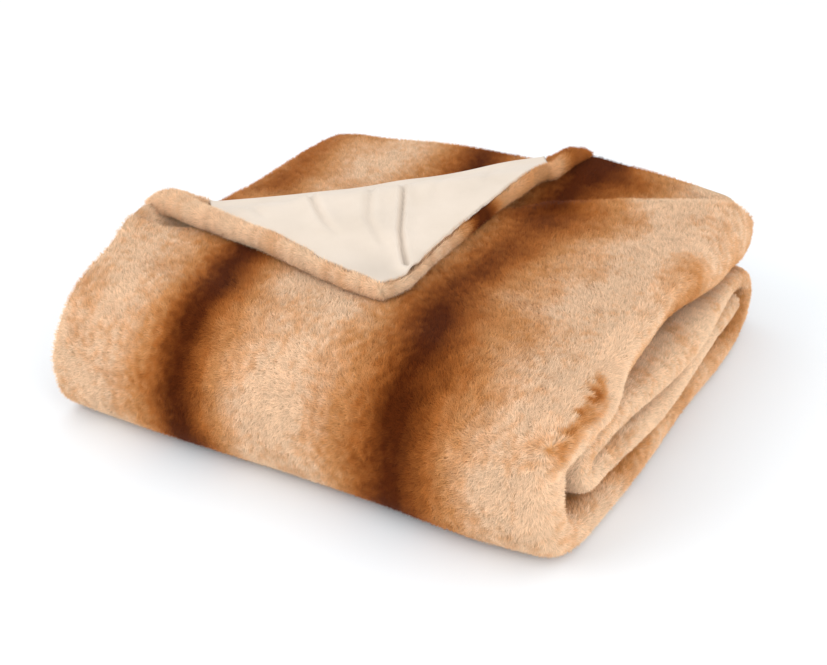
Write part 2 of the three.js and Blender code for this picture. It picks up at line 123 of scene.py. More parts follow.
# Pairs of place and move: the foot of the front by x, and by y the top layer's right edge out and up and
# the rolls under it up
FRONT_FOOT, FOOT_FADE = ([-220, -100, -17, 69, 117, 147, 176, 214], [3, 1, 1, 4, 7, 8, 6, 2]), 0.7
EDGE_SHIFT = (
    [-226, -190, -165, -138, -108, -78, -48, -12, 20, 55, 95, 130, 215],
    [0, 9, 17, 10, -3, -9, -12, -12, -7, 0, 5, 4, 0],
)
EDGE_LIFT = ([-226, -188, -158, -118, -50, -8, 18, 48, 80, 120, 215], [0, 0, -4, -4, 1, 5, 5, 3, 0, -3, 0])
EDGE_EASE, EDGE_FADE = 14, 0.6
ROLL_LIFT = ([-226, -94, 45, 142, 175, 215], [10, 10, 2, -5, -13, -13])
# Where each move sets in and is full: to the right or left, to the front or back, and upwards
SETS_IN = dict(
    roll_right=(110, 195), draw_right=(90, 205), draw_front=(20, 200), draw_left=(150, 226),
    left_front=(110, 180), left_up=(40, 100), foot_front=(120, 215), foot_up=(10, 80), roll_up=(0, 84),
    roll_ends=(84, 122), edge_right=(140, 200), edge_up=(62, 82), edge_ends=(95, 120), lump_up=(20, 110),
    swell_back=(100, 200), swell_up=(60, 110), front_up=(5, 30),
)

# How finely the cloth is cut up along the strip and across it
STEPS = dict(top=92, front=28, base=12, back=16, upper=12, nose=10, inner=12)
COLUMNS, PLY_CROWDING = dict(ply_one=64, right=16, ply_two=10, left=8, ply_three=28, end=5), 1.35
END_ROUNDING = dict(inset=[0, 1.5, 4, 9], fullness=[0.35, 0.72, 0.92, 1], draw=[10, 6, 3, 1])
FLAP_COLUMNS, FLAP_CUTS = dict(bend=12, field=18, foot=8, round=14, under=10), ((0.12, 22), (1, 150))

# The pile: how deep it is as a share of its ply, the range of that depth, and its hairs
PILE_SHARE, PILE_LEAST, PILE_MOST = 0.2, 1.3, 2
HAIR_SLANT, SIDE_SLANT, HAIR_ABOVE, HAIR_WIDTH = 1.9, 2.3, 0.4, 0.55
CLUMP, CLUMP_PULL, CLUMP_TONE, CLUMP_SEED = 4.2, 0.22, 0.35, 14
# Chance in a hair's length and width, in its turn and in its lean, the share that stray, and the lean left
LENGTH_SPREAD, LENGTH_RANGE, WIDTH_RANGE = 0.1, (0.6, 1.3), (0.7, 1.3)
TURN_NOISE, TURN_SPREAD = ((60, 11, 1), (16, 12, 0.9)), 0.8
LEAN_NOISE, LEAN_SPREAD, STRAY_SHARE, STRAY_LEAN = (9, 13, 0.1), 0.15, 0.02, 0.7
# Least height of a tip over the floor, half width and reach of a hair in the pattern, share of its own side
TIP_LEAST, PATTERN_WIDTH, PATTERN_REACH, OWN_SIDE = 0.4, 0.4, 2, 0.2
# Where the sides carry hairs, how thickly, and how far under the corner none are needed
SIDE_RIGHT, SIDE_LEFT, SIDE_SHARE, CREASE_FUR, HIDDEN_UNDER, ENDS_BACK = 184, -200, 0.6, 14, 18, 100
CORNER_DEPTH, FOOT_DEPTH, STRIP_SEEDS, CORNER_SEEDS = 1.15, 0.6, (100, 200), (300, 301)
# The way the pile was stroked: backwards, to the left and down
NAP = np.array([-0.45, 0.75, -0.48])
HAIRS = dict(top=198000, front=165000, right_side=198000, left_side=85000, back=45000, corner=120000)

# The stripes across the cloth: middle, how far the brown reaches to its left and right, how dark
STRIPES = [
    (124, 72, 62, 1), (300, 80, 92, 1), (487, 45, 80, 0.8), (677, 80, 85, 0.9),
    (889, 90, 86, 0.68), (1062, 85, 85, 0.95), (1247, 60, 52, 0.9),
]
STRIPE_CORE, STRIPE_FALL, STRIPE_STEP = 5, 1.15, 20
STRIPE_STEP_FROM, STRIPE_STEP_TO = 300, 400
# Brown patches between the stripes, several of them painted shade: middle across and along, reach across
# and along, how dark
PATCHES_AND_PAINTED_SHADE = [
    # On this row: a ruffled dark band where the top turns down into its right side near the front, partly
    # parted fur and partly painted shade, then painted shade in the trough behind the crest
    (413, 358, 5, 15, 0.42), (418, 376, 5, 17, 0.44), (419, 404, 6, 14, 0.38), (325, 25, 50, 32, 0.2),
    # On this row: a lighter patch, then painted shade along the top layer's right side and painted shade on
    # the base band's side
    (285, 235, 60, 75, -0.2), (428, 178, 24, 50, 0.2), (430, 750, 60, 190, 0.2),
]
# Patches narrower than this are ruffled by the finest noise
RUFFLED_UNDER = 20
# The corner takes its pattern from here: place across the cloth under it, place across that it shows
CORNER_PATTERN = (
    [-100, 0, 55, 74, 88, 104, 118, 150, 215, 240, 330],
    [0, 30, 54, 92, 112, 92, 62, 56, 62, 80, 84],
)

# Camera, at the photograph's angle
CAMERA_AT, CAMERA_AZIMUTH, CAMERA_PITCH = (0.44056, -0.82442, 0.5426), 28.7, 28.8
CAMERA_LENS, CAMERA_SENSOR = 55.46, 36


def smooth(value, start, end):
    """Smoothstep: 0 before start, 1 after end, and 3 t squared less 2 t cubed between."""
    t = np.clip((np.asarray(value, float) - start) / (end - start), 0, 1)
    return t * t * (3 - 2 * t)


def mix(low, high, share):
    """The straight line from low to high."""
    return low + (high - low) * share


def table(rows, share, column):
    """Straight between the rows of a table by share."""
    return np.interp(share, rows["share"], rows[column])


def eased(value, pairs, ease):
    """Straight between pairs, rounded at the bends: the mean of three places, ease apart."""
    return sum(np.interp(value + shift, *pairs) for shift in (-ease, 0, ease)) / 3


def shares(count, last=False):
    """Even shares from 0 towards 1 as one row, with 1 itself only if last."""
    return np.linspace(0, 1, count, endpoint=last)[None]


def noise(x, y, scale, seed):
    """Smooth noise from -1 to 1: random values on a square lattice of the given scale, eased between."""
    lattice = np.random.default_rng(seed).uniform(-1, 1, (LATTICE, LATTICE))
    u, v = np.asarray(x, float) / scale, np.asarray(y, float) / scale
    i, j = np.floor(u).astype(int), np.floor(v).astype(int)
    s, t = smooth(u - i, 0, 1), smooth(v - j, 0, 1)
    at = lambda di, dj: lattice[(i + di) % LATTICE, (j + dj) % LATTICE]
    return mix(mix(at(0, 0), at(1, 0), s), mix(at(0, 1), at(1, 1), s), t)


def unit(vectors):
    """Vectors at length 1."""
    return vectors / np.maximum(np.linalg.norm(vectors, axis=-1, keepdims=True), 1e-9)


# The folded strip

SECTION = ("thick", "left", "right", "phase", "blunt")
# Where a station holds its depth and height, after its section
PATH = slice(5, 7)


def middle_of(layer):
    """Height of a layer's middle."""
    return layer["under"] + layer["thick"] / 2


def lying(name, up, start, end, steps):
    """Stations of a flat stretch: thickness, left, right, phase, bluntness, depth, height, normal, group."""
    layer, t = LAYERS[name], np.linspace(0, 1, steps + 1)
    one = np.ones_like(t)
    rows = [layer[key] * one for key in SECTION]
    rows += [mix(start, end, t), middle_of(layer) * one, 0 * one, up * one]
    return np.stack(rows, 1), [name] * len(t)


def turning(start, end, centre, side, name, steps):
    """Stations of a half turn: each quarter is a superellipse, the sine and cosine to 2 / squareness."""
    a, b, shape = LAYERS[start], LAYERS[end], TURNS[name]
    radius = abs(middle_of(a) - middle_of(b)) / 2
    height = (middle_of(a) + middle_of(b)) / 2
    t = np.arange(1, steps) / steps
    sine = np.sin(math.pi * t)
    cosine = np.cos(math.pi * t) * (1 if middle_of(a) > middle_of(b) else -1)
    square = np.where(cosine > 0, shape["upper"], shape["lower"])
    out, rise, up = sine ** (2 / square), np.abs(cosine) ** (2 / square), np.sign(cosine)
    normal = unit(np.stack([side * out ** (square - 1), up * rise ** (square - 1)], 1))
    rows = [mix(a[key], b[key], t) for key in SECTION]
    rows[0] = rows[0] - shape["pinch"] * sine
    rows += [centre + radius * side * out, height + radius * up * rise, normal[:, 0], normal[:, 1]]
    return np.stack(rows, 1), [name] * len(t)


def turn_reach(a, b):
    """How far a turn reaches from its centre to its outermost face."""
    return abs(middle_of(a) - middle_of(b)) / 2 + (a["thick"] + b["thick"]) / 4


def strip_stations():
    """The strip from its free end on top to its free end inside, as long as the cloth, as arrays."""
    top, upper, base = (LAYERS[key] for key in ("top", "upper", "base"))
    front = PILE_FRONT + turn_reach(top, base)
    back = PILE_BACK - turn_reach(base, upper)
    nose = front + NOSE_SETBACK
    parts = [
        lying("top", 1, TOP_END, front, STEPS["top"]),
        turning("top", "base", front, -1, "front", STEPS["front"]),
        lying("base", -1, front, back, STEPS["base"]),
        turning("base", "upper", back, 1, "back", STEPS["back"]),
        lying("upper", 1, back, nose, STEPS["upper"]),
        turning("upper", "inner", nose, -1, "nose", STEPS["nose"]),
    ]
    outside = np.concatenate([rows for rows, _ in parts])
    used = np.linalg.norm(np.diff(outside[:, PATH], axis=0), axis=1).sum()
    end = min(nose + CLOTH_LENGTH * CLOTH_GIVE - used, back - INNER_CLEARANCE)
    parts.append(lying("inner", -1, nose, end, STEPS["inner"]))
    rows = np.concatenate([part for part, _ in parts])
    groups = [name for _, names in parts for name in names]
    inset, fullness, draw = (np.array(END_ROUNDING[key]) for key in ("inset", "fullness", "draw"))
    first, last = np.repeat(rows[:1], len(inset), 0), np.repeat(rows[-1:], len(inset), 0)
    for ends in (first, last):
        ends[:, 1] += draw
        ends[:, 2] -= draw
        ends[:, 5] -= inset
    rows = np.concatenate([first, rows[2:-1], last[::-1]])
    groups = ["top"] * len(inset) + groups[2:-1] + ["inner"] * len(inset)
    full = np.concatenate([fullness, np.ones(len(rows) - 2 * len(inset)), fullness[::-1]])
    keys = (*SECTION, "y", "z", "ny", "nz")
    made = {key: rows[:, k : k + 1] for k, key in enumerate(keys)}
    step = np.linalg.norm(np.diff(rows[:, PATH], axis=0), axis=1)
    made["along"] = np.concatenate([[0], np.cumsum(step)])[:, None]
    made["full"] = full[:, None]
    made["group"] = np.array(groups)
    return made


def crease_x(y):
    """Where the top ply ends beside the crease, going back."""
    slope = (CREASE_RIGHT[0] - CREASE_LEFT[0]) / (CREASE_RIGHT[1] - CREASE_LEFT[1])
    line = CREASE_LEFT[0] + CREASE_INSET + (y - CREASE_LEFT[1]) * slope
    return np.where(y > CREASE_LEFT[1], line, -FAR)


def trough(x, y):
    """Depth behind the crest: a smooth fall, then most of it won back. Just before the crest the cloth
    stands up in a low bell-shaped ridge."""
    along = unit(CREST_RIGHT - CREST_LEFT)
    behind = (y - CREST_LEFT[1]) * along[0] - (x - CREST_LEFT[0]) * along[1]
    rise = smooth(behind, TROUGH_FALL, TROUGH_RISE)
    ridge = np.exp(-(((behind + RIDGE["before"]) / RIDGE["across"]) ** 2)) * smooth(x, *RIDGE["starts"])
    ridge = RIDGE["height"] * ridge * (1 - smooth(x, *RIDGE["ends"]))
    fall = TROUGH_DEPTH * smooth(x, *TROUGH_LEFT) * smooth(behind, 0, TROUGH_FALL)
    return fall * (1 - TROUGH_RECOVERY * rise) - ridge


CREASE_LENGTH = np.linalg.norm(CREASE_RIGHT - CREASE_LEFT)
ALONG_CREASE = (CREASE_RIGHT - CREASE_LEFT) / CREASE_LENGTH
BEFORE_CREASE = np.array([ALONG_CREASE[1], -ALONG_CREASE[0]])


def pressed(share, reach):
    """How firmly the corner is pressed down: 1 at the crease, 0 at its ends and beyond the reach."""
    along = smooth(share, *PRESS_STARTS) * (1 - smooth(share, *PRESS_ENDS))
    return along * (1 - smooth(reach, 0, PRESS_REACH))


def press_depth(share, reach):
    """How deep the corner presses in: most in the middle of the crease, by a squared sine."""
    return PRESS_DEPTH * (1 + PRESS_SAG * np.sin(math.pi * np.clip(share, 0, 1)) ** 2) * pressed(share, reach)


def sunk_at(x, y):
    """How far the upper face of the top ply lies below its nominal height: trough, press and mound."""
    share = ((x - CREASE_LEFT[0]) * ALONG_CREASE[0] + (y - CREASE_LEFT[1]) * ALONG_CREASE[1]) / CREASE_LENGTH
    reach = (x - CREASE_LEFT[0]) * BEFORE_CREASE[0] + (y - CREASE_LEFT[1]) * BEFORE_CREASE[1]
    across, deep = (x - MOUND["x"]) / MOUND["across"], (y - MOUND["y"]) / MOUND["deep"]
    mound = MOUND["height"] * np.exp(-(across**2) - deep**2)
    press = press_depth(share, reach)
    return np.where(press > PRESS_LEAST, np.maximum(trough(x, y), press), trough(x, y)) - mound


def parabola(values, place):
    """The parabola through three values at -1, 0 and 1."""
    low, middle, high = values
    return middle + place * (high - low) / 2 + place * place * (high + low - 2 * middle) / 2


def settle(x, y, z):
    """The pile settles: heights follow parabolas through the slump table, corners draw in by a fourth power,
    sides waver by sines, the floor stays. The front right corner and the upper left one are drawn in further
    and the foot of the front stands forward. At the right the top layer's edge and the rolls under it move as
    their pairs say, and the back swells by a bell. Top and front have low lumps of noise."""
    u, v = x / LAYERS["base"]["right"], y / PILE_BACK
    rows = [parabola(row, u) for row in SLUMP]
    lean = z / TOP_HEIGHT
    across = x * (1 - CORNER_DRAW * v**4) + WAVER * np.sin(y / WAVE_ALONG["y"] + WAVE_UP["y"] * lean)
    deep = y * (1 - CORNER_DRAW * u**4) + WAVER * np.sin(x / WAVE_ALONG["x"] + WAVE_UP["x"] * lean)
    z = z * parabola(rows, v)
    part = lambda value, name: smooth(value, *SETS_IN[name])
    across = across - FRONT_RIGHT_DRAW * part(-y, "draw_front") * part(x, "draw_right")
    across = across + FRONT_LEFT_DRAW * part(-x, "draw_left") * part(-y, "left_front") * part(z, "left_up")
    push = np.interp(x, *FRONT_FOOT) * part(-y, "foot_front") * (1 - FOOT_FADE * part(z, "foot_up"))
    lift = np.interp(y, *ROLL_LIFT) * part(x, "roll_right") * part(z, "roll_up") * (1 - part(z, "roll_ends"))
    edge = part(x, "edge_right") * part(z, "edge_up") * (1 - EDGE_FADE * part(z, "edge_ends"))
    across = across + eased(y, EDGE_SHIFT, EDGE_EASE) * edge
    lift = lift + eased(y, EDGE_LIFT, EDGE_EASE) * edge
    swell = np.exp(-(((x - BACK_SWELL["middle"]) / BACK_SWELL["across"]) ** 2))
    lift = lift + BACK_SWELL["height"] * swell * part(y, "swell_back") * part(z, "swell_up")
    lump = LUMP_HEIGHT * noise(x, y, LUMP_SIZE, TOP_SEED) * part(z, "lump_up")
    face = LUMP_HEIGHT * noise(x, z, LUMP_SIZE, FRONT_SEED) * part(-y, "foot_front") * part(z, "front_up")
    return np.stack([across, deep - push + face, z + lift + lump], -1)


def pile_depth(ply):
    """Depth of the pile on a ply of that thickness."""
    return np.clip(PILE_SHARE * ply, PILE_LEAST, PILE_MOST)


def bluntly(wave, stations):
    """A sine or cosine for a superellipse: its size to 2 over the bluntness, with its sign."""
    return np.sign(wave) * np.abs(wave) ** (2 / stations["blunt"])


def strip_section(stations, face):
    """One face of the three plies: face 1 is the fur's ground, face -1 the backing. The outer ply runs from
    its free left edge to the right, a half ellipse takes it under, the next ply runs back, a half ellipse at
    the left turns up, and the third ply runs between the two. Gives the place across, the height over the
    strip's middle and the distance across the flat cloth, for every station and column."""
    thick, full = stations["thick"], stations["full"]
    gap = GAP_SHARE * thick
    ply = (thick - 2 * gap) / 3
    offset = full * (ply / 2 - pile_depth(ply)) if face > 0 else -full * ply / 2
    outer = (thick - ply) / 2
    waver = EDGE_WAVER * np.sin(stations["y"] / EDGE_WAVE + stations["phase"])
    free_edge = stations["left"] - waver + ply / 2
    right = stations["right"] + waver - RIGHT_BULGE
    left = stations["left"] - waver + EDGE_OVERHANG + LEFT_BULGE
    turn = (ply + gap) / 2
    right_reach, left_reach = RIGHT_BULGE - ply / 2, LEFT_BULGE - ply / 2
    right_arc, left_arc = math.pi / 2 * (outer + right_reach), math.pi / 2 * (turn + left_reach)
    used = right - free_edge + right - left + right_arc + left_arc
    end = np.minimum(left + CLOTH_WIDTH - used, right)
    top = (stations["group"] == "top")[:, None]
    edge = np.where(top, np.maximum(free_edge, crease_x(stations["y"])), free_edge)
    across, over, flat = [], [], []

    def add(*parts):
        for rows, part in zip((across, over, flat), np.broadcast_arrays(*parts)):
            rows.append(part)

    x = mix(edge, right, shares(COLUMNS["ply_one"]) ** PLY_CROWDING)
    add(x, outer + offset, x - free_edge)
    done = right - free_edge
    part = shares(COLUMNS["right"])
    angle = math.pi * (0.5 - part)
    reach, rise = right_reach + offset, outer + offset
    x, height = right + reach * bluntly(np.cos(angle), stations), rise * bluntly(np.sin(angle), stations)
    add(x, height, done + right_arc * part)
    done = done + right_arc
    part = shares(COLUMNS["ply_two"])
    add(mix(right, left, part), -outer - offset, done + (right - left) * part)
    done = done + right - left
    part = shares(COLUMNS["left"])
    angle = math.pi * (-0.5 - part)
    reach, rise = np.maximum(left_reach + offset, LEAST_TUCK), turn + offset
    height = turn - outer + rise * bluntly(np.sin(angle), stations)
    add(left + reach * bluntly(np.cos(angle), stations), height, done + left_arc * part)
    done = done + left_arc
    part = shares(COLUMNS["ply_three"], True)
    add(mix(left, end, part), offset, done + (end - left) * part)
    return np.concatenate(across, 1), np.concatenate(over, 1), np.concatenate(flat, 1)


def half_round(first, last, steps):
    """Points between two rows of points on the half circle that bulges away, without its two ends: the
    middle of the two, plus their half distance turned through the angle."""
    centre, radius = (first + last) / 2, (first - last) / 2
    outward = np.stack([radius[..., 1], -radius[..., 0]], -1)
    angle = (np.arange(1, steps) / steps * math.pi)[None, :, None]
    return centre[:, None] + radius[:, None] * np.cos(angle) - outward[:, None] * np.sin(angle)


def strip_surface():
    """The whole closed surface of the strip as a grid: stations by points round the outline. Gives the
    points, the flat cloth coordinates, and for each column its part of the outline."""
    stations = strip_stations()
    *fur, flat = strip_section(stations, 1)
    fur, back = np.stack(fur, -1), np.stack(strip_section(stations, -1)[:2], -1)
    inside_end = half_round(fur[:, -1], back[:, -1], COLUMNS["end"])
    free_edge = half_round(back[:, 0], fur[:, 0], COLUMNS["end"])
    ring = np.concatenate([fur, inside_end, back[:, ::-1], free_edge], 1)
    ends = COLUMNS["end"] - 1
    end_flat, edge_flat = np.repeat(flat[:, -1:], ends, 1), np.repeat(flat[:, :1], ends, 1)
    flat = np.concatenate([flat, end_flat, flat[:, ::-1], edge_flat], 1)
    columns = [name for name in list(COLUMNS)[:-1] for _ in range(COLUMNS[name])]
    columns = columns + ["end"] * ends + ["backing"] * len(columns) + ["edge"] * ends
    x, over = ring[..., 0], ring[..., 1]
    y = stations["y"] + stations["ny"] * over
    z = stations["z"] + stations["nz"] * over
    top = (stations["group"] == "top")[:, None]
    up = np.where(top, np.maximum((over - (LAYERS["top"]["thick"] / 2 - TOP_PLY)) / TOP_PLY, 0), 0)
    points = settle(x, y, z - sunk_at(x, y) * up * stations["full"])
    along = stations["along"] + 0 * x
    return points, flat, along, stations, np.array(columns)


def grid_faces(rows, columns, closed):
    """Quads of a grid of points, row by row, with the last column joined to the first if closed."""
    i = np.arange(rows - 1)[:, None] * columns
    j = np.arange(columns if closed else columns - 1)[None]
    following = (j + 1) % columns
    return np.stack([i + j, i + following, i + columns + following, i + columns + j], -1).reshape(-1, 4)


def mesh_piece(name, points, faces, flat, along, material):
    """A smooth mesh object of quads or triangles, points in the formulas' millimetres, with a UV map that
    holds the flat cloth in metres, and a material."""
    mesh = bpy.data.meshes.new(name)
    placed = (points.reshape(-1, 3) + CENTRE_SHIFT) * MM
    size = faces.shape[1]
    mesh.vertices.add(len(placed))
    mesh.vertices.foreach_set("co", placed.astype(np.float32).ravel())
    mesh.loops.add(faces.size)
    mesh.loops.foreach_set("vertex_index", faces.astype(np.int32).ravel())
    mesh.polygons.add(len(faces))
    mesh.polygons.foreach_set("loop_start", np.arange(0, faces.size, size, dtype=np.int32))
    mesh.update(calc_edges=True)
    cloth = np.stack([flat.ravel(), along.ravel()], 1)[faces.ravel()] * MM
    mesh.uv_layers.new(name="cloth").uv.foreach_set("vector", cloth.astype(np.float32).ravel())
    mesh.validate()
    mesh.materials.append(material)
    mesh.polygons.foreach_set("use_smooth", np.ones(len(mesh.polygons), bool))
    piece = bpy.data.objects.new(name, mesh)
    bpy.context.scene.collection.objects.link(piece)
    return piece


def keep_values(piece, name, values):
    """One number for each point of a piece, under a name that its material reads."""
    attribute = piece.data.attributes.new(name, "FLOAT", "POINT")
    attribute.data.foreach_set("value", values.astype(np.float32).ravel())


def facing(points, faces):
    """1 where the closed mesh of quads has its faces outwards, or -1: the sign of its volume."""
    a, b, c, d = (points.reshape(-1, 3)[faces[:, k]] for k in range(4))
    volume = np.einsum("ij,ij->i", a, np.cross(b, c) + np.cross(c, d)).sum()
    return 1 if volume > 0 else -1


def turned_out(points, faces):
    """The faces of a closed mesh, reversed where they point in."""
    return faces[:, :: facing(points, faces)]


def closed_grid(points):
    """Faces of a closed tube of rings whose two ends are closed across, each point to its opposite."""
    rows, columns = points.shape[:2]
    faces = grid_faces(rows, columns, True)
    half = columns // 2
    j = np.arange(half - 1 + columns % 2)
    cap = np.stack([j, columns - 1 - j, np.maximum(columns - 2 - j, 0), j + 1], -1)
    cap = cap[cap[:, 2] > cap[:, 3]]
    last = (rows - 1) * columns
    return np.concatenate([faces, cap, (cap + last)[:, ::-1]])


# The turned-back corner


def flap_edge(share):
    """Edge of the corner from the left end of the crease round its tip to the right end: two lines, each
    bowed by a sine, the right one also drawn in by a cubic that is fullest at a third. The tip is rounded, as
    a weighted mean of three places."""

    def sharp(value):
        value = np.clip(value, 0, 1)
        left = value / FLAP_TIP_SHARE
        right = (value - FLAP_TIP_SHARE) / (1 - FLAP_TIP_SHARE)
        first = mix(CREASE_LEFT, FLAP_TIP, left[:, None])
        second = mix(FLAP_TIP, CREASE_RIGHT, right[:, None])
        first[:, 1] += LEFT_EDGE_BOW * np.sin(math.pi * left)
        dip = RIGHT_EDGE_DIP * 27 / 4 * right * (1 - right) ** 2
        second[:, 0] -= RIGHT_EDGE_BOW * np.sin(math.pi * right) + dip
        return np.where((value < FLAP_TIP_SHARE)[:, None], first, second)

    return (2 * sharp(share) + sharp(share - TIP_ROUNDING) + sharp(share + TIP_ROUNDING)) / 4


def fur_underside(share, reach):
    """Height of the underside of the corner's fur."""
    return TOP_HEIGHT + FLAP_LIFT - press_depth(share, reach)


def fur_top(share, reach):
    """Height of the top of the corner's fur short of its rim."""
    return fur_underside(share, reach) + mix(table(RIM, share, "fur"), PRESSED_FUR, pressed(share, reach))


def rim_noise(share, kind):
    """Noise along the rim: its height times smooth noise of its size and seed."""
    height, size, seed = kind
    return height * noise(share * RIM_PATH, 0 * share, size, seed)


def flap_cuts(share):
    """Cross-cuts of the corner: root on the crease, direction, length, foot of the rim and bend."""
    root = mix(CREASE_LEFT, CREASE_RIGHT, share[:, None])
    reach = flap_edge(share) - root
    length = np.maximum(np.linalg.norm(reach, axis=1), LEAST_CUT)
    width = table(RIM, share, "width") + rim_noise(share, RIM_RAGGED)
    calm = 1 - RIGHT_LEG_CALM * smooth(share, *RIGHT_LEG_STARTS)
    width = width + rim_noise(share, RIM_WAVER) * calm
    blend = np.minimum(length / (2 * width), 1)[:, None]
    way = unit(mix(BEFORE_CREASE, unit(reach), blend))
    low = TOP_HEIGHT - TOP_PLY + LEG_INSET
    high = fur_top(share, 0)
    return root, way, length, np.maximum(length - width, RIM_FOOT_LEAST), (low + high) / 2, (high - low) / 2


def placed_cut(share, reach, height):
    """Points of the cross-cuts in space: along each cut's direction by reach, at that height, settled."""
    root, way = flap_cuts(share)[:2]
    x = root[:, :1] + way[:, :1] * reach
    y = root[:, 1:] + way[:, 1:] * reach
    return settle(x, y, height)


def flap_surface():
    """The corner's ground below its pile: bend, field, foot of the rim, its round, underside and lower leg,
    as closed rings of [reach, height] for each cross-cut."""
    (near, near_cuts), (_, far_cuts) = FLAP_CUTS
    share = np.concatenate([np.linspace(0, near, near_cuts, endpoint=False), np.linspace(near, 1, far_cuts)])
    _, _, length, foot, middle, bend = (v if v.ndim > 1 else v[:, None] for v in flap_cuts(share))
    s = share[:, None]
    rise, full = table(RIM, s, "rise"), np.interp(s, FULLNESS["share"], FULLNESS["fullness"])
    rise = rise + rim_noise(s, RIM_LUMPS) + rim_noise(s, TUFT_LUMPS) * smooth(s, *TUFT_STARTS)
    half = (table(RIM, s, "fur") + rise) / 2
    centre = np.maximum(length - half, 1)
    sink = PILE_MOST
    rim_top = lambda reach: fur_top(s, reach) + rise * smooth(reach, foot, foot + RIM_SLOPE)
    ends = 1 - smooth(s, *SINK_STARTS) * (1 - smooth(s, *SINK_ENDS))
    angle = mix(1.5, 0.5, shares(FLAP_COLUMNS["bend"])) * math.pi
    rings = [((bend - sink * ends) * np.cos(angle), middle + (bend - sink * ends) * np.sin(angle))]
    place = foot * shares(FLAP_COLUMNS["field"])
    under = np.minimum(WRINKLE_MOST + 1, fur_top(s, place) - fur_underside(s, place) - CLOTH_LEFT)
    rings.append((place, rim_top(place) - mix(under, sink, ends)))
    place = mix(foot, centre, shares(FLAP_COLUMNS["foot"]))
    rings.append((place, rim_top(place) - sink))
    angle = mix(0.5, -0.5, shares(FLAP_COLUMNS["round"])) * math.pi
    rim_middle = (rim_top(centre) + fur_underside(s, centre)) / 2
    rings.append((centre + (half - sink) * np.cos(angle), rim_middle + (half - sink) * np.sin(angle)))
    place = centre * np.linspace(1, 0, FLAP_COLUMNS["under"])[None]
    rings.append((place, fur_underside(s, place) + sink * UNDER_SHARE * smooth(place, *UNDER_STARTS)))
    slit, low = fur_underside(s, 0 * s), middle - bend
    leg = np.concatenate([slit - FLAP_LIFT / 2, slit - FLAP_LIFT, low + LEG_THICK, low], 1)
    rings.append((np.array([[-FLAP_LIFT / 2, 0, LEG_LENGTH, LEG_LENGTH]]) + 0 * s, leg))
    reach, height = (np.concatenate(rows, 1) for rows in zip(*rings))
    drop = END_DROP * smooth(s, END_DROP_STARTS, 1)
    return placed_cut(share, reach * full, mix(middle, height, full) - drop), share


def corner_cloth(points):
    """Flat cloth coordinates of the corner: its places mirrored over the crease, back onto the top ply."""
    x, y = points[..., 0] - CREASE_LEFT[0], points[..., 1] - CREASE_LEFT[1]
    past = 2 * np.maximum(x * BEFORE_CREASE[0] + y * BEFORE_CREASE[1], 0)
    across = points[..., 0] - past * BEFORE_CREASE[0] - LAYERS["top"]["left"] - TOP_PLY / 2
    return np.interp(across, *CORNER_PATTERN), TOP_END - points[..., 1] + past * BEFORE_CREASE[1]


# Hairs


def surface_frame(points):
    """Normals of a grid of rings, outwards, and its directions round and along: central differences, and
    their cross product times the sign of the volume."""
    down = np.gradient(points, axis=0)
    across = (np.roll(points, -1, 1) - np.roll(points, 1, 1)) / 2
    sign = facing(points, grid_faces(*points.shape[:2], True))
    return unit(np.cross(across, down)) * sign, unit(across), unit(down)


def scatter(points, weights, count, seed, carried):
    """Random places on a grid that is closed across: cells drawn by area times weight, then bilinear in the
    cell. carried is a list of grids; gives the interpolated values of each."""
    random = np.random.default_rng(seed)
    beside, below = np.roll(points, -1, 1)[:-1], points[1:]
    here = points[:-1]
    area = np.linalg.norm(np.cross(beside - here, below - here), axis=-1)
    chance = (area * weights).ravel()
    cells = random.choice(len(chance), count, p=chance / chance.sum())
    i, j = np.divmod(cells, points.shape[1])
    s, t = random.random(count), random.random(count)
    following = (j + 1) % points.shape[1]
    out = []
    for grid in carried:
        corner = [grid[i, j], grid[i, following], grid[i + 1, following], grid[i + 1, j]]
        u, v = (s[:, None], t[:, None]) if grid.ndim == 3 else (s, t)
        out.append(mix(mix(corner[0], corner[1], u), mix(corner[3], corner[2], u), v))
    return out


def clump_offset(flat, along, seed):
    """From each place to the nearest clump centre, in flat cloth coordinates: centres are a square lattice
    with random shifts. Also a random number from 0 to 1 of that clump."""
    shift = np.random.default_rng(seed).random((CLUMP_LATTICE, CLUMP_LATTICE, 2))
    best = np.full(len(flat), FAR)
    offset, own = np.zeros((len(flat), 2)), np.zeros(len(flat))
    i, j = np.floor(flat / CLUMP).astype(int), np.floor(along / CLUMP).astype(int)
    for di in (-1, 0, 1):
        for dj in (-1, 0, 1):
            cell = shift[(i + di) % CLUMP_LATTICE, (j + dj) % CLUMP_LATTICE]
            to = np.stack([(i + di + cell[:, 0]) * CLUMP - flat, (j + dj + cell[:, 1]) * CLUMP - along], 1)
            distance = (to**2).sum(1)
            nearer = distance < best
            best = np.where(nearer, distance, best)
            offset[nearer] = to[nearer]
            own[nearer] = cell[nearer, 0]
    return offset, own


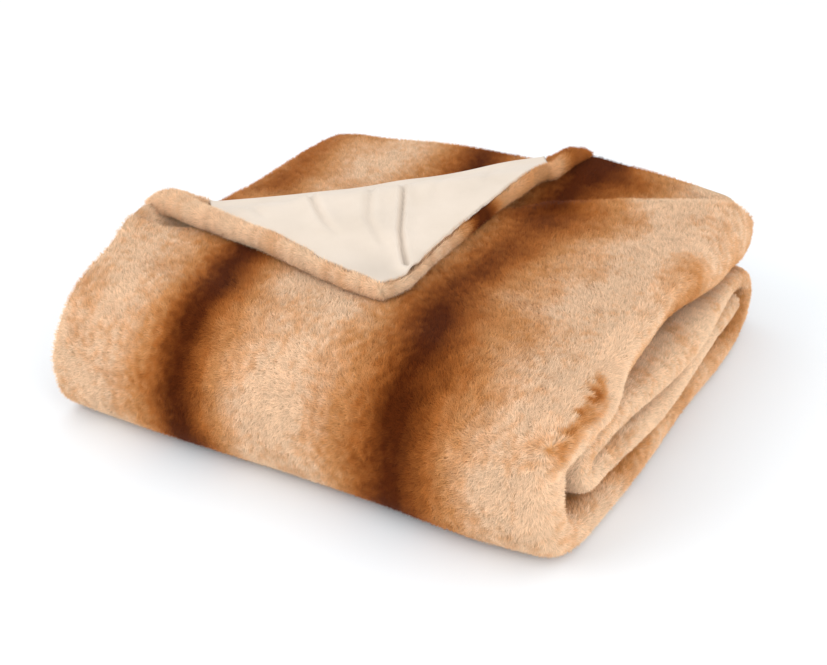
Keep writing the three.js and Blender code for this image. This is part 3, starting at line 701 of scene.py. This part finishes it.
def hair_piece(name, values, slant, seed, material):
    """One mesh of hairs, from the scattered values of their roots. Each is a thin triangle from its root to
    its tip: the tip lies along the normal and the nap, leaned so that it ends at the pile's depth, and drawn
    towards its clump. The nap is one direction laid onto the surface and turned by noise."""
    roots, normals, across, down, flat, along, depth = values
    normals, across, down = unit(normals), unit(across), unit(down)
    random = np.random.default_rng(seed)
    count = len(roots)
    loose = HAIR_SLANT / slant
    length = (depth + HAIR_ABOVE) * slant * random.normal(1, LENGTH_SPREAD, count).clip(*LENGTH_RANGE)
    turn = sum(noise(flat, along, size, key) * most for size, key, most in TURN_NOISE)
    turn = (turn + random.normal(0, TURN_SPREAD, count)) * loose**2
    size, key, most = LEAN_NOISE
    lean = random.normal(0, LEAN_SPREAD, count) + most * noise(flat, along, size, key)
    lean = math.acos(1 / slant) + lean * loose
    lean = np.where(random.random(count) < STRAY_SHARE * loose**4, lean * STRAY_LEAN, lean)
    forth = unit(NAP - normals * (normals @ NAP)[:, None])
    side = forth * np.cos(turn)[:, None] + np.cross(normals, forth) * np.sin(turn)[:, None]
    way = normals * np.cos(lean)[:, None] + side * np.sin(lean)[:, None]
    pull, own = clump_offset(flat, along, CLUMP_SEED)
    pull = pull * CLUMP_PULL
    tips = roots + way * length[:, None] + across * pull[:, :1] + down * pull[:, 1:]
    tips[:, 2] = np.maximum(tips[:, 2], TIP_LEAST)
    way = unit(tips - roots)
    half = (HAIR_WIDTH / 2 * random.uniform(*WIDTH_RANGE, count))[:, None]
    edge = unit(np.cross(way, normals)) * half
    points = np.stack([roots - edge, roots + edge, tips], 1).reshape(-1, 3)
    shift = np.stack([(side * across).sum(1), (side * down).sum(1)], 1) * PATTERN_REACH
    u = np.stack([flat - PATTERN_WIDTH, flat + PATTERN_WIDTH, flat + shift[:, 0]], 1)
    v = np.stack([along, along, along + shift[:, 1]], 1)
    piece = mesh_piece(name, points, np.arange(3 * count).reshape(-1, 3), u, v, material)
    keep_values(piece, "hair_tone", np.repeat(mix(random.random(count), own, CLUMP_TONE), 3))
    keep_values(piece, "hair_height", np.tile([0, 0, 1], count))
    shading = unit(np.repeat(normals, 3, 0) + OWN_SIDE * np.repeat(unit(np.cross(edge, way)), 3, 0))
    piece.data.normals_split_custom_set_from_vertices(shading.astype(np.float32))
    return piece


# Materials


def feed(tree, made, inputs):
    """Inputs of a node, by name or number, each linked from a socket or set to a value."""
    for key, value in inputs.items():
        if isinstance(value, bpy.types.NodeSocket):
            tree.links.new(value, made.inputs[key])
        else:
            made.inputs[key].default_value = value


def node(tree, kind, inputs, **properties):
    """A node with its properties and inputs, to the right of those before it."""
    made = tree.nodes.new(kind)
    made.location = (NODE_STEP * len(tree.nodes), 0)
    for key, value in properties.items():
        setattr(made, key, value)
    feed(tree, made, inputs)
    return made


def arithmetic(tree, operation, *values):
    """A Math node of two or three values, each a socket or a number."""
    return node(tree, "ShaderNodeMath", dict(enumerate(values)), operation=operation).outputs[0]


def remap(tree, value, old, new, kind="LINEAR"):
    """A value moved from its old range onto the new one."""
    inputs = dict(enumerate((value, *old, *new)))
    return node(tree, "ShaderNodeMapRange", inputs, interpolation_type=kind).outputs[0]


def cloud(tree, vector, scale, detail):
    """Noise of a scale and detail at the vector."""
    return node(tree, "ShaderNodeTexNoise", dict(Vector=vector, Scale=scale, Detail=detail)).outputs["Fac"]


def scaled(tree, colour, gain):
    """A colour times a gain."""
    return node(tree, "ShaderNodeVectorMath", {0: colour, "Scale": gain}, operation="SCALE").outputs[0]


def spot(tree, parts, places, reaches):
    """1 at a place of the flat cloth, fading to 0 at the reach: a smoothstep of the scaled distance."""
    squares = []
    for axis, middle, reach in zip(parts, places, reaches):
        part = arithmetic(tree, "MULTIPLY_ADD", axis, 1 / (reach * MM), -middle / reach)
        squares.append(arithmetic(tree, "POWER", arithmetic(tree, "ABSOLUTE", part), 2))
    return remap(tree, arithmetic(tree, "ADD", *squares), (0, 2), (1, 0), "SMOOTHSTEP")


def ramp(tree, factor, stops):
    """A colour ramp with its stops, (place, linear colour)."""
    made = node(tree, "ShaderNodeValToRGB", dict(Fac=factor))
    elements = made.color_ramp.elements
    while len(elements) < len(stops):
        elements.new(0.5)
    for element, (place, colour) in zip(elements, stops):
        element.position = place
        element.color = (*colour, 1)
    return made.outputs["Color"]


def linear(*colour):
    """Linear colour of sRGB bytes."""
    values = (value / 255 for value in colour)
    return tuple(v / 12.92 if v <= 0.04045 else ((v + 0.055) / 1.055) ** 2.4 for v in values)


# The fur's colours from light to the dark core of a stripe, and the knit's two tones
FUR_COLOURS = [
    (0, linear(241, 206, 170)), (0.18, linear(230, 182, 137)), (0.42, linear(211, 150, 93)),
    (0.66, linear(182, 110, 52)), (0.84, linear(140, 74, 26)), (1, linear(94, 40, 6)),
]
CREAM, CREAM_SHADE = linear(222, 207, 191), linear(212, 197, 180)
# Noises of the pattern, the felt and the knit: scale and detail; how far three move the stripes, in metres
FINEST, FINE, BROAD, MOTTLE, FELT, KNIT_TONE = (170, 3), (55, 4), (9, 3), (20, 5), (900, 2), (22, 4)
FINEST_WARP, FINE_WARP, BROAD_WARP = 0.008, 0.014, 0.032
# How much the mottling and the specks lighten and darken, from this range of the noise, where the cloth
# is light, and the darkness at which they stop
NOISE_RANGE, MOTTLE_RANGE, SPECK_RANGE, MOTTLED_UNDER = (0.3, 0.7), (-0.15, 0.17), (-0.1, 0.1), 1.35
# Gains of colour: a hair from root to tip, one hair to the next, the cream's painted shade from none to the
# deepest fold, and the ground between the hairs; then the share of light that comes through a hair
HEIGHT_GAIN, TONE_GAIN, PAINTED_SHADE_GAIN, GROUND_GAIN = (0.72, 1.16), (0.79, 1.21), (1, 0.72), 0.75
HAIR_THROUGH, NODE_STEP = 0.12, 200
# Roughness and sheen of each material, and the shine of all
FINISHES = dict(fur_hair=(0.85, 0.05), fur_ground=(0.9, 0.05), cream_knit=(0.85, 0.2), pale_floor=(0.9, 0))
SPECULAR = 0.06
# Strength and distance of the bumps, the rows of stitches, and where the cream's two tones begin
FELT_BUMP, KNIT_BUMP, TONE_STARTS = (0.6, 0.001), (0.25, 0.0004), (0.25, 0.7)
STITCHES = dict(Scale=260, Distortion=1.5)


def fur_colour_group():
    """The fur's dye pattern with painted shade in it, from flat cloth coordinates in metres: stripes at an
    even pitch whose place is warped by noise, brown patches of which several are painted shade, a ramp from
    light through brown to the dark core, and mottling."""
    group = bpy.data.node_groups.new("fur_colour", "ShaderNodeTree")
    group.interface.new_socket("Cloth", in_out="INPUT", socket_type="NodeSocketVector")
    group.interface.new_socket("Color", in_out="OUTPUT", socket_type="NodeSocketColor")
    place = node(group, "NodeGroupInput", {}).outputs["Cloth"]
    parts = node(group, "ShaderNodeSeparateXYZ", {0: place}).outputs
    finest, fine, broad = (cloud(group, place, *kind) for kind in (FINEST, FINE, BROAD))
    across = parts["X"]
    for source, reach in ((finest, FINEST_WARP), (fine, FINE_WARP), (broad, BROAD_WARP)):
        warp = arithmetic(group, "MULTIPLY_ADD", source, reach, -reach / 2)
        across = arithmetic(group, "ADD", across, warp)
        if source == finest:
            near = across
    starts = (STRIPE_STEP_FROM * MM, STRIPE_STEP_TO * MM)
    step = remap(group, parts["Y"], starts, (STRIPE_STEP * MM, 0), "SMOOTHSTEP")
    across = arithmetic(group, "ADD", across, step)
    share = arithmetic(group, "DIVIDE", across, CLOTH_WIDTH * MM)
    stops = []
    for middle, left, right, dark in STRIPES:
        for at, grey in ((-left, 0), (-STRIPE_CORE, dark), (STRIPE_CORE, dark), (right, 0)):
            stops.append(((middle + at) / CLOTH_WIDTH, (grey, grey, grey)))
    dark = arithmetic(group, "POWER", ramp(group, share, stops), STRIPE_FALL)
    coarse = arithmetic(group, "MULTIPLY", finest, 2)
    # Brown patches, several of them painted shade on the cloth's turns and in the trough behind the crest
    for *middle, reach_x, reach_y, amount in PATCHES_AND_PAINTED_SHADE:
        patch = spot(group, (near, parts["Y"]), middle, (reach_x, reach_y))
        patch = arithmetic(group, "MULTIPLY", patch, amount)
        if reach_x < RUFFLED_UNDER:
            patch = arithmetic(group, "MULTIPLY", patch, coarse)
        dark = arithmetic(group, "ADD", dark, patch)
    spread = remap(group, cloud(group, place, *MOTTLE), NOISE_RANGE, MOTTLE_RANGE)
    patchy = arithmetic(group, "ADD", spread, remap(group, finest, NOISE_RANGE, SPECK_RANGE))
    lighter = arithmetic(group, "SUBTRACT", MOTTLED_UNDER, dark)
    dark = arithmetic(group, "ADD", dark, arithmetic(group, "MULTIPLY", patchy, lighter))
    node(group, "NodeGroupOutput", dict(Color=ramp(group, dark, FUR_COLOURS)))
    return group


def fabric(name):
    """A new material with a Principled BSDF of its own finish."""
    material = bpy.data.materials.new(name)
    material.use_nodes = True
    shader = material.node_tree.nodes["Principled BSDF"]
    roughness, sheen = FINISHES[name]
    finish = {"Roughness": roughness, "Sheen Weight": sheen, "Specular IOR Level": SPECULAR}
    feed(material.node_tree, shader, finish)
    return material, material.node_tree, shader


def cloth_place(tree):
    """The flat cloth coordinates of a piece."""
    return node(tree, "ShaderNodeUVMap", {}, uv_map="cloth").outputs["UV"]


def fur_pattern_and_shade(tree, group):
    """The fur's dye pattern and its painted shade at the flat cloth coordinates."""
    return node(tree, "ShaderNodeGroup", dict(Cloth=cloth_place(tree)), node_tree=group).outputs["Color"]


def kept(tree, name):
    """A value that each point of the piece keeps under this name."""
    return node(tree, "ShaderNodeAttribute", {}, attribute_name=name).outputs["Fac"]


def bumpy(tree, height, strength, distance):
    """A normal from a height."""
    return node(tree, "ShaderNodeBump", dict(Height=height, Strength=strength, Distance=distance)).outputs[0]


def hair_material(group):
    """Hairs: the fur's dye pattern and its painted shade, darker at the root, lighter at the tip, each hair a
    little different. They are thin, so a part of the light comes through them."""
    material, tree, shader = fabric("fur_hair")
    height = remap(tree, kept(tree, "hair_height"), (0, 1), HEIGHT_GAIN)
    tone = remap(tree, kept(tree, "hair_tone"), (0, 1), TONE_GAIN)
    colour = scaled(tree, fur_pattern_and_shade(tree, group), arithmetic(tree, "MULTIPLY", height, tone))
    feed(tree, shader, {"Base Color": colour})
    through = node(tree, "ShaderNodeBsdfTranslucent", dict(Color=colour)).outputs[0]
    both = node(tree, "ShaderNodeMixShader", {0: HAIR_THROUGH, 1: shader.outputs[0], 2: through})
    feed(tree, tree.nodes["Material Output"], dict(Surface=both.outputs[0]))
    return material


def ground_material(group):
    """The ground of the fur between the hairs: the dye pattern and its painted shade, darkened, with a felted
    bump.
    """
    material, tree, shader = fabric("fur_ground")
    colour = scaled(tree, fur_pattern_and_shade(tree, group), GROUND_GAIN)
    felt = cloud(tree, cloth_place(tree), *FELT)
    feed(tree, shader, {"Base Color": colour, "Normal": bumpy(tree, felt, *FELT_BUMP)})
    return material


def backing_material():
    """The smooth cream knit: faint rows of stitches, a soft variation of tone, and painted shade in the
    folds and towards the corner's tip."""
    material, tree, shader = fabric("cream_knit")
    place = cloth_place(tree)
    colour = ramp(tree, cloud(tree, place, *KNIT_TONE), list(zip(TONE_STARTS, (CREAM_SHADE, CREAM))))
    # Painted shade: the cream darker deep in its folds and towards the corner's tip
    shade = remap(tree, kept(tree, "painted_fold_shade"), (0, 1), PAINTED_SHADE_GAIN)
    stitches = dict(Vector=place, **STITCHES)
    rows = node(tree, "ShaderNodeTexWave", stitches, bands_direction="DIAGONAL").outputs["Fac"]
    normal = bumpy(tree, rows, *KNIT_BUMP)
    feed(tree, shader, {"Base Color": scaled(tree, colour, shade), "Normal": normal})
    return material


# The backing's sheet with its wrinkles

# Wrinkles of the backing: line of places on the top, depth, half width, and where it fades along it
WRINKLES = [
    dict(
        line=[(-124, 2), (-115, -11), (-102, -28), (-88, -43), (-72, -59), (-57, -70), (-40, -82)],
        depth=6, width=3.8, ends=(0.45, 1),
    ),
    dict(
        line=[(-88, 42), (-80, 33), (-65, -1), (-46, -36), (-16, -68), (-3, -76)],
        depth=4.6, width=4.2, ends=(0.5, 1),
    ),
    dict(
        line=[(-64, 56), (-47, 26), (-29, -11), (-12, -45), (4, -70), (19, -90)],
        depth=8, width=2.8, ends=(0.98, 1.1),
    ),
    dict(line=[(-165, -38), (-133, -63), (-108, -83)], depth=3, width=5.5, ends=(0.5, 1)),
    dict(line=[(-38, 92), (-27, 44), (-14, 12)], depth=2.4, width=5.5, ends=(0.5, 1)),
    dict(line=[(-14, 128), (-2, 95), (10, 60)], depth=2.6, width=5, ends=(0.5, 1)),
]
WRINKLE_STARTS, WRINKLE_MOST, SWELL_SHARE, SWELL_WIDTH = (0, 0.25), 6, 0.8, 2.6
# Shade towards the corner's tip: how much, where from the tip, and its reach
TIP_SHADE, TIP_PLACE, TIP_REACH = 0.4, (12, 35), (15, 75)
# Where the wrinkles set in from the crease, the cloth left under them, the least that they may sink, the soft
# unevenness, and where the seam sets in along the crease
FOLD_STARTS, FOLD_LEAVES, FOLD_LEAST, SOFT_LUMPS, SEAM_SHARE = (2, 14), 2.2, 0.5, (0.5, 30, 21), (0.43, 0.47)
# How finely the backing is cut up, and its flat length round the bend
BACKING_CUTS, BEND_COLUMNS, FIELD_COLUMNS, FIELD_CROWDING, BEND_FLAT = 150, 16, 60, 0.9, 20
SEAM_INSET, SEAM_DEPTH, SEAM_WIDTH = 2.6, 1.2, 0.9


def distance_to_line(x, y, line):
    """Distance of each place to a broken line, and how far along it that is, as a share."""
    line = np.array(line, float)
    best, along = np.full(np.shape(x), FAR), np.zeros(np.shape(x))
    for k in range(len(line) - 1):
        start, step = line[k], line[k + 1] - line[k]
        t = np.clip(((x - start[0]) * step[0] + (y - start[1]) * step[1]) / (step @ step), 0, 1)
        distance = np.hypot(x - start[0] - t * step[0], y - start[1] - t * step[1])
        along = np.where(distance < best, (k + t) / (len(line) - 1), along)
        best = np.minimum(best, distance)
    return best, along


def wrinkled(x, y):
    """Depth of the wrinkles: for each line, its depth times a bell across it that fades at its start and
    its end, with a low swell beside it."""
    depth = 0
    for row in WRINKLES:
        distance, along = distance_to_line(x, y, row["line"])
        fade = smooth(along, *WRINKLE_STARTS) * (1 - smooth(along, *row["ends"]))
        trough_part = row["depth"] * np.exp(-((distance / row["width"]) ** 2))
        swell = SWELL_SHARE * row["depth"] * np.exp(-((distance / (SWELL_WIDTH * row["width"])) ** 2))
        depth = depth + fade * (trough_part - swell)
    return depth


def backing_surface():
    """The backing as a closed sheet over the cross-cuts: round the bend, along the fur to the rim, and back
    on its other face, lowered by the wrinkles and by the seam along its right edge. Gives the points, both
    flat coordinates, and the painted shade of each point from 0 to 1: more the deeper it lies in a fold, and
    more towards the corner's tip."""
    share = np.linspace(*BACKING_ENDS, BACKING_CUTS)
    root, way, _, foot, middle, bend = flap_cuts(share)
    s, foot, middle, bend = share[:, None], foot[:, None], middle[:, None], bend[:, None]
    angle = mix(BACKING_TURN, math.pi / 2, shares(BEND_COLUMNS))
    place = (foot - BACKING_CLEARANCE) * shares(FIELD_COLUMNS, True) ** FIELD_CROWDING
    x, y = root[:, :1] + way[:, :1] * place, root[:, 1:] + way[:, 1:] * place
    starts = smooth(place, *FOLD_STARTS)
    seam = SEAM_DEPTH * smooth(s, *SEAM_SHARE) * np.exp(-(((foot - place - SEAM_INSET) / SEAM_WIDTH) ** 2))
    folds = wrinkled(x, y) * starts
    height, size, seed = SOFT_LUMPS
    lowered = folds + height * noise(x, y, size, seed) * starts + seam
    room = fur_top(s, place) - fur_underside(s, place) - FOLD_LEAVES
    lowered = np.minimum(lowered, np.clip(room, FOLD_LEAST, WRINKLE_MOST))
    rings = []
    for thick in (0, BACKING_THICK):
        within = bend + BACKING_CLEARANCE + thick
        bend_part = (within * np.cos(angle), middle + within * np.sin(angle))
        flat_part = (place, fur_top(s, place) + BACKING_CLEARANCE + thick - lowered)
        rings.append([np.concatenate(pair, 1) for pair in zip(bend_part, flat_part)])
    reach, height = (np.concatenate([one, other[:, ::-1]], 1) for one, other in zip(*rings))
    bend_flat = mix(-BEND_FLAT, 0, shares(BEND_COLUMNS)) + 0 * s
    flat = np.concatenate([bend_flat, place, place[:, ::-1], bend_flat[:, ::-1]], 1)
    # Painted shade of the cream: more the deeper its fold, and more towards the corner's tip
    tip = np.hypot(x - FLAP_TIP[0] + TIP_PLACE[0], y - FLAP_TIP[1] - TIP_PLACE[1])
    shade = np.clip(folds / WRINKLE_MOST + TIP_SHADE * (1 - smooth(tip, *TIP_REACH)), 0, 1)
    deep = np.concatenate([0 * bend_flat, shade, shade[:, ::-1], 0 * bend_flat], 1)
    return placed_cut(share, reach, height), flat, CREASE_LENGTH * s + 0 * flat, deep


# Assembly


def strip_weights(points, stations, columns):
    """How densely each cell of the strip carries hairs: only where the fur shows."""
    group, column = stations["group"][:-1, None], columns[None]
    x, y = points[:-1, :, 0], points[:-1, :, 1]
    weight = np.zeros(x.shape)
    weight[np.isin(group, ["top", "front", "back"]) & (column == "ply_one")] = 1
    weight[:, np.isin(columns, ["right", "left", "edge"])] = 1
    weight[(group == "top") & (column == "ply_three") & (x < crease_x(y) + CREASE_FUR)] = 1
    inner = np.isin(group, ["upper", "nose", "inner", "base"]) & ((x > SIDE_RIGHT) | (x < SIDE_LEFT))
    weight[inner & (column == "ply_one")] = SIDE_SHARE
    weight[cut_end(stations, y) & (column != "backing")] = 1
    weight[under_flap(x, y, HIDDEN_UNDER) & (group == "top") & (column == "ply_one")] = 0
    return weight


def cut_end(stations, y):
    """Whether a cell is on the cut end of the strip at the back."""
    return (stations["full"][:-1] < 1) & (y > ENDS_BACK)


def under_flap(x, y, margin):
    """Whether a place lies under the corner, at least margin inside its edges."""
    corners = np.array([CREASE_LEFT, FLAP_TIP, CREASE_RIGHT])
    inside = np.ones(np.shape(x), bool)
    for k in range(3):
        start, step = corners[k], unit(corners[(k + 1) % 3] - corners[k])
        inside &= step[0] * (y - start[1]) - step[1] * (x - start[0]) > margin
    return inside


def build_cloth(material):
    """The whole cloth as one piece: the strip and the corner's ground. Gives both surfaces as well."""
    strip, corner = strip_surface(), flap_surface()
    points, flat, along = strip[:3]
    faces = turned_out(points, closed_grid(points))
    corner_faces = turned_out(corner[0], closed_grid(corner[0])) + flat.size
    everything = np.concatenate([points.reshape(-1, 3), corner[0].reshape(-1, 3)])
    u, v = (np.concatenate([a.ravel(), b.ravel()]) for a, b in zip((flat, along), corner_cloth(corner[0])))
    piece = mesh_piece("fur_throw", everything, np.concatenate([faces, corner_faces]), u, v, material)
    return piece, strip, corner


def strip_hairs(strip, material):
    """Hairs on the strip, one piece for each side of the pile."""
    points, flat, along, stations, columns = strip
    weights = strip_weights(points, stations, columns)
    depth = pile_depth(stations["thick"] * (1 - 2 * GAP_SHARE) / 3) * stations["full"] + 0 * flat
    group, column = stations["group"][:-1, None], columns[None]
    cut = cut_end(stations, points[:-1, :, 1])
    on_top = (group == "top") & np.isin(column, ["ply_one", "ply_three"])
    on_front = (group == "front") & (column == "ply_one")
    on_back = (group == "back") & (column == "ply_one") | cut
    on_side = ~(on_top | on_front | on_back)
    right = points[:-1, :, 0] > 0
    parts = dict(top=on_top & ~on_back, front=on_front, back=on_back)
    parts.update(right_side=on_side & right, left_side=on_side & ~right)
    pieces = []
    carried = [points, *surface_frame(points), flat, along, depth]
    for k, (name, part) in enumerate(parts.items()):
        values = scatter(points, weights * part, HAIRS[name], STRIP_SEEDS[0] + k, carried)
        slant = SIDE_SLANT if name.endswith("side") else HAIR_SLANT
        pieces.append(hair_piece("pile_" + name, values, slant, STRIP_SEEDS[1] + k, material))
    return pieces


def corner_hairs(corner, material):
    """Hairs on the rim, the two ends and the underside edge of the turned-back corner."""
    points, share = corner
    s, column = share[:-1, None], np.arange(points.shape[1])[None]
    start = FLAP_COLUMNS["bend"] + FLAP_COLUMNS["field"]
    rim_end = start + FLAP_COLUMNS["foot"] + FLAP_COLUMNS["round"] + 2
    ends = (s < FUR_ENDS[0]) | (s > FUR_ENDS[1])
    weights = (((column >= start - 1) | ends) & (column < rim_end)).astype(float)
    depth = CORNER_DEPTH + FOOT_DEPTH * np.isin(column, np.arange(start - 1, start + 3))
    depth = PILE_MOST * depth + 0 * points[..., 0]
    carried = [points, *surface_frame(points), *corner_cloth(points), depth]
    values = scatter(points, weights, HAIRS["corner"], CORNER_SEEDS[0], carried)
    return hair_piece("pile_corner", values, HAIR_SLANT, CORNER_SEEDS[1], material)


# Key and fill: place, size and power; the floor's size and colour, the sky's colour and strength
LIGHTS = dict(key=((-1.6, -1.9, 1.7), 1.8, 24.5), fill=((2.2, -1.5, 0.9), 2.4, 38))
FLOOR_SIZE, FLOOR_COLOUR, SKY_COLOUR, SKY_STRENGTH = 12, (0.88, 0.9, 0.915, 1), (0.97, 0.985, 1, 1), 1.05


def make_stage():
    """Pale floor, soft studio light and the camera."""
    bpy.ops.mesh.primitive_plane_add(size=FLOOR_SIZE, location=(0, 0, 0))
    floor = bpy.context.object
    floor.name = "floor"
    material, tree, shader = fabric("pale_floor")
    feed(tree, shader, {"Base Color": FLOOR_COLOUR})
    floor.data.materials.append(material)
    world = bpy.data.worlds.new("studio")
    world.use_nodes = True
    sky = world.node_tree.nodes["Background"]
    feed(world.node_tree, sky, dict(Color=SKY_COLOUR, Strength=SKY_STRENGTH))
    bpy.context.scene.world = world
    for name, (place, size, power) in LIGHTS.items():
        light = bpy.data.lights.new(name, "AREA")
        light.size, light.energy = size, power
        lamp = bpy.data.objects.new(name, light)
        lamp.location = place
        lamp.rotation_euler = (-Vector(place)).to_track_quat("-Z", "Y").to_euler()
        bpy.context.scene.collection.objects.link(lamp)
    camera = bpy.data.objects.new("camera", bpy.data.cameras.new("camera"))
    azimuth, pitch = math.radians(CAMERA_AZIMUTH), math.radians(CAMERA_PITCH)
    camera.data.lens, camera.data.sensor_width = CAMERA_LENS, CAMERA_SENSOR
    camera.location = CAMERA_AT
    camera.rotation_euler = (math.pi / 2 - pitch, 0, azimuth)
    bpy.context.scene.collection.objects.link(camera)
    bpy.context.scene.camera = camera
    bpy.context.scene.view_settings.view_transform = "Standard"


def main():
    """The stage, the cloth, its backing and its pile on the root body, with the solids of the cloth and
    backing hidden.
    """
    make_stage()
    group = fur_colour_group()
    ground, hair, knit = ground_material(group), hair_material(group), backing_material()
    cloth, strip, corner = build_cloth(ground)
    points, flat, along, deep = backing_surface()
    faces = turned_out(points, closed_grid(points))
    backing = mesh_piece("backing_sheet", points, faces, flat, along, knit)
    # The cream's painted shade, which its material reads
    keep_values(backing, "painted_fold_shade", deep)
    hairs = [*strip_hairs(strip, hair), corner_hairs(corner, hair)]
    for piece in (cloth, backing, *hairs):
        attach(piece, "root")
    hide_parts("fur_cloth")
    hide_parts("backing")


main()
